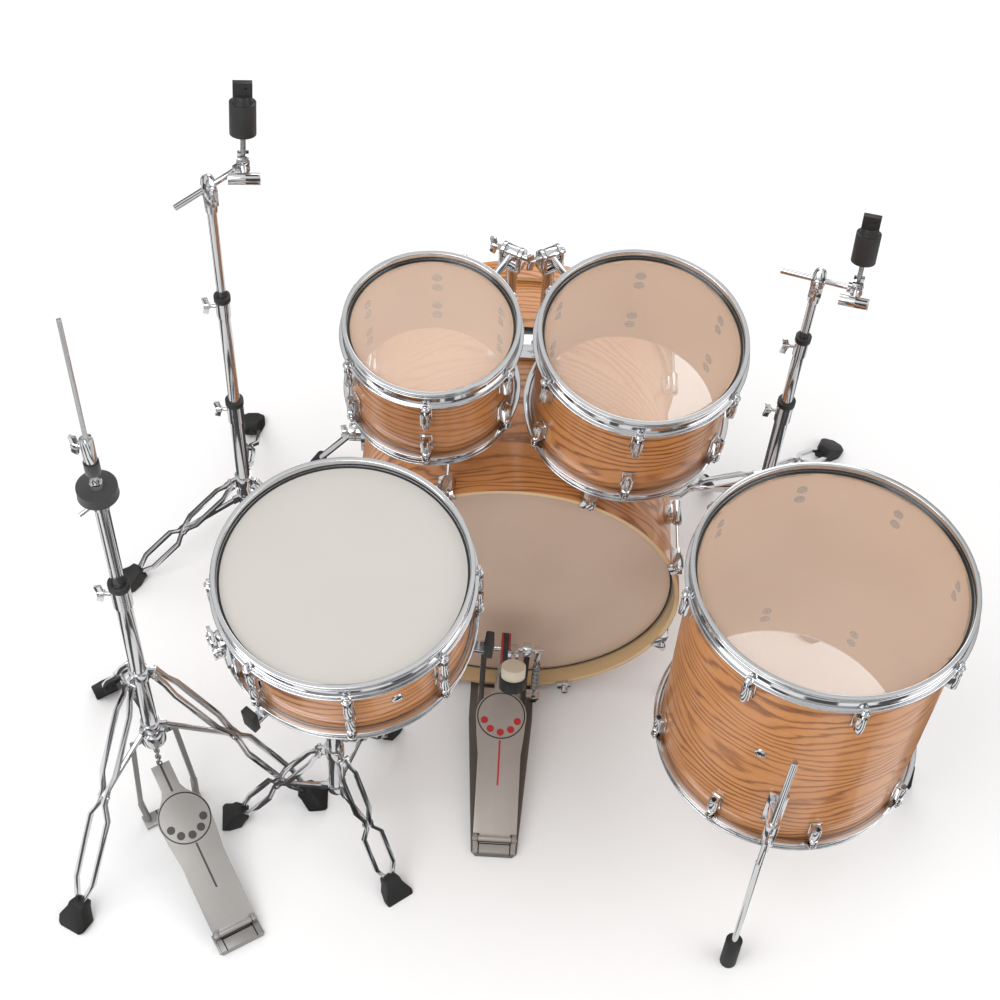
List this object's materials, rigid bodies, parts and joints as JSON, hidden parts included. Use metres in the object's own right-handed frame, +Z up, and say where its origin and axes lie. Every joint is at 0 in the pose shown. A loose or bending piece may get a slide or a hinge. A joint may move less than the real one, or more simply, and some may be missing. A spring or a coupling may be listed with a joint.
{
  "type": "acoustic drum kit",
  "caption": "Acoustic drum kit: bass drum with pedal, rack toms, floor tom and snare on its stand, hi-hat stand and boom cymbal stands, with working pedals and tilters.",
  "frame": {"origin": "underside of the bass pedal's base plate, on the bass drum's centre line and straight below the playing edge of its hoop", "axes": "+X to the drummer's right, +Y away from the drummer along the bass drum's axis, +Z up"},
  "size_m": [1.5151, 1.2123, 1.213],
  "materials": {
    "veneer": "gloss",
    "hoop_wood": "gloss",
    "clear_film": "gloss",
    "coated_film": "matte",
    "chrome": "polished",
    "plate": "satin",
    "board": "satin",
    "felt": "matte",
    "rubber": "matte",
    "sleeve": "matte"
  },
  "bodies": {
    "kit": {"bass_shell": "veneer", "bass_hoops": "hoop_wood", "bass_heads": "clear_film", "bass_lugs": "chrome", "bass_claws": "chrome", "tom_bracket": "chrome", "spur_brackets": "chrome", "pedal_base": "plate", "pedal_frame": "chrome", "floor_tom_shell": "veneer", "floor_tom_hoops": "chrome", "floor_tom_heads": "clear_film", "floor_tom_lugs": "chrome", "floor_leg_brackets": "chrome", "snare_tripod": "chrome", "hihat_tripod": "chrome", "hihat_base": "plate", "left_tripod": "chrome", "right_tripod": "chrome", "stand_feet": "rubber"},
    "bass_footboard": {"pedal_footboard": "board"},
    "beater": {"pedal_beater": "chrome", "beater_head": "felt"},
    "spur_left": {"left_spur": "chrome"},
    "spur_right": {"right_spur": "chrome"},
    "leg_front": {"floor_leg_front": "chrome"},
    "leg_right": {"floor_leg_right": "chrome"},
    "leg_back": {"floor_leg_back": "chrome"},
    "small_post": {"small_tom_post": "chrome"},
    "small_tom": {"small_tom_arm": "chrome", "small_tom_shell": "veneer", "small_tom_hoops": "chrome", "small_tom_heads": "clear_film", "small_tom_lugs": "chrome"},
    "large_post": {"large_tom_post": "chrome"},
    "large_tom": {"large_tom_arm": "chrome", "large_tom_shell": "veneer", "large_tom_hoops": "chrome", "large_tom_heads": "clear_film", "large_tom_lugs": "chrome"},
    "snare_pole": {"snare_tube": "chrome"},
    "basket": {"snare_basket": "chrome", "basket_grips": "rubber"},
    "snare_drum": {"snare_shell": "veneer", "snare_hoops": "chrome", "snare_heads": "coated_film", "snare_lugs": "chrome", "snare_strainer": "chrome", "snare_wires": "chrome"},
    "lever": {"strainer_lever": "chrome"},
    "hihat_pole": {"hihat_tube": "chrome"},
    "pull_rod": {"hihat_rod": "chrome", "hihat_clutch": "chrome"},
    "hihat_board": {"hihat_footboard": "board"},
    "left_pole": {"left_tube": "chrome"},
    "left_arm": {"left_boom": "chrome"},
    "left_tip": {"left_tilter": "sleeve"},
    "right_pole": {"right_tube": "chrome"},
    "right_arm": {"right_boom": "chrome"},
    "right_tip": {"right_tilter": "sleeve"}
  },
  "joints": [
    {"name": "bass_board_hinge", "type": "hinge", "parent": "kit", "child": "bass_footboard", "pos_m": [0, -0.32, 0.018], "axis": [1, 0, 0], "range_deg": [-5.9, 0]},
    {"name": "beater_axle", "type": "hinge", "parent": "kit", "child": "beater", "pos_m": [0, -0.034, 0.185], "axis": [1, 0, 0], "range_deg": [-66.2, 0], "stiffness_Nm_per_rad": 1.2, "springref_deg": 28.65},
    {"name": "left_spur_fold", "type": "hinge", "parent": "kit", "child": "spur_left", "pos_m": [-0.3035, 0.4, 0.2379], "axis": [1, 0, 0], "range_deg": [0, 60]},
    {"name": "right_spur_fold", "type": "hinge", "parent": "kit", "child": "spur_right", "pos_m": [0.3035, 0.4, 0.2379], "axis": [1, 0, 0], "range_deg": [0, 60]},
    {"name": "front_leg_slide", "type": "slide", "parent": "kit", "child": "leg_front", "axis": [0, 0, 1], "range_m": [0, 0.08]},
    {"name": "right_leg_slide", "type": "slide", "parent": "kit", "child": "leg_right", "axis": [0, 0, 1], "range_m": [0, 0.08]},
    {"name": "back_leg_slide", "type": "slide", "parent": "kit", "child": "leg_back", "axis": [0, 0, 1], "range_m": [0, 0.08]},
    {"name": "small_tom_swivel", "type": "hinge", "parent": "kit", "child": "small_post", "pos_m": [-0.031, 0.33, 0.7], "axis": [0, 0, 1], "range_deg": [-12, 0]},
    {"name": "small_tom_tilt", "type": "hinge", "parent": "small_post", "child": "small_tom", "pos_m": [-0.031, 0.33, 0.7944], "axis": [-0.893, 0.45, 0], "range_deg": [-4, 10]},
    {"name": "large_tom_swivel", "type": "hinge", "parent": "kit", "child": "large_post", "pos_m": [0.029, 0.33, 0.7], "axis": [0, 0, 1], "range_deg": [0, 12]},
    {"name": "large_tom_tilt", "type": "hinge", "parent": "large_post", "child": "large_tom", "pos_m": [0.029, 0.33, 0.7944], "axis": [-0.8523, -0.5231, 0], "range_deg": [-4, 10]},
    {"name": "snare_height", "type": "slide", "parent": "kit", "child": "snare_pole", "axis": [0, 0, 1], "range_m": [-0.04, 0.08]},
    {"name": "basket_tilt", "type": "hinge", "parent": "snare_pole", "child": "basket", "pos_m": [-0.277, -0.276, 0.565], "axis": [0, 1, 0], "range_deg": [-10, 10]},
    {"name": "snare_lift_off", "type": "slide", "parent": "basket", "child": "snare_drum", "axis": [-0.0312, -0.1149, 0.9929], "range_m": [0, 0.2]},
    {"name": "strainer_throw", "type": "hinge", "parent": "snare_drum", "child": "lever", "pos_m": [-0.41937, -0.38843, 0.68774], "axis": [0.4801, -0.873, -0.086], "range_deg": [0, 80]},
    {"name": "hihat_height", "type": "slide", "parent": "kit", "child": "hihat_pole", "axis": [0, 0, 1], "range_m": [-0.15, 0]},
    {"name": "pull_rod_slide", "type": "slide", "parent": "kit", "child": "pull_rod", "axis": [0, 0, 1], "range_m": [-0.021, 0], "stiffness_N_per_m": 400, "springref_m": 0.06},
    {"name": "hihat_board_hinge", "type": "hinge", "parent": "kit", "child": "hihat_board", "pos_m": [-0.4257, -0.50988, 0.018], "axis": [0.8406, 0.5417, 0], "range_deg": [-4.25, 0]},
    {"name": "left_stand_height", "type": "slide", "parent": "kit", "child": "left_pole", "axis": [0, 0, 1], "range_m": [-0.12, 0.06]},
    {"name": "left_boom_tilt", "type": "hinge", "parent": "left_pole", "child": "left_arm", "pos_m": [-0.517, 0.34, 0.887], "axis": [0.309, -0.9511, 0], "range_deg": [-50, 18]},
    {"name": "left_cymbal_tilt", "type": "hinge", "parent": "left_arm", "child": "left_tip", "pos_m": [-0.46264, 0.35766, 0.92], "axis": [0.1754, -0.9586, 0.2241], "range_deg": [-50, 40]},
    {"name": "right_stand_height", "type": "slide", "parent": "kit", "child": "right_pole", "axis": [0, 0, 1], "range_m": [-0.08, 0.06]},
    {"name": "right_boom_tilt", "type": "hinge", "parent": "right_pole", "child": "right_arm", "pos_m": [0.492, 0.42, 0.69], "axis": [-0.2588, -0.9659, 0], "range_deg": [-35, 48]},
    {"name": "right_cymbal_tilt", "type": "hinge", "parent": "right_arm", "child": "right_tip", "pos_m": [0.55575, 0.40292, 0.69], "axis": [-0.2522, -0.9412, 0.225], "range_deg": [-50, 20]}
  ],
  "couplings": [
    {"joint": "beater_axle", "follows": "bass_board_hinge", "ratio": 11.214},
    {"joint": "pull_rod_slide", "follows": "hihat_board_hinge", "m_per_rad": 0.283}
  ]
}
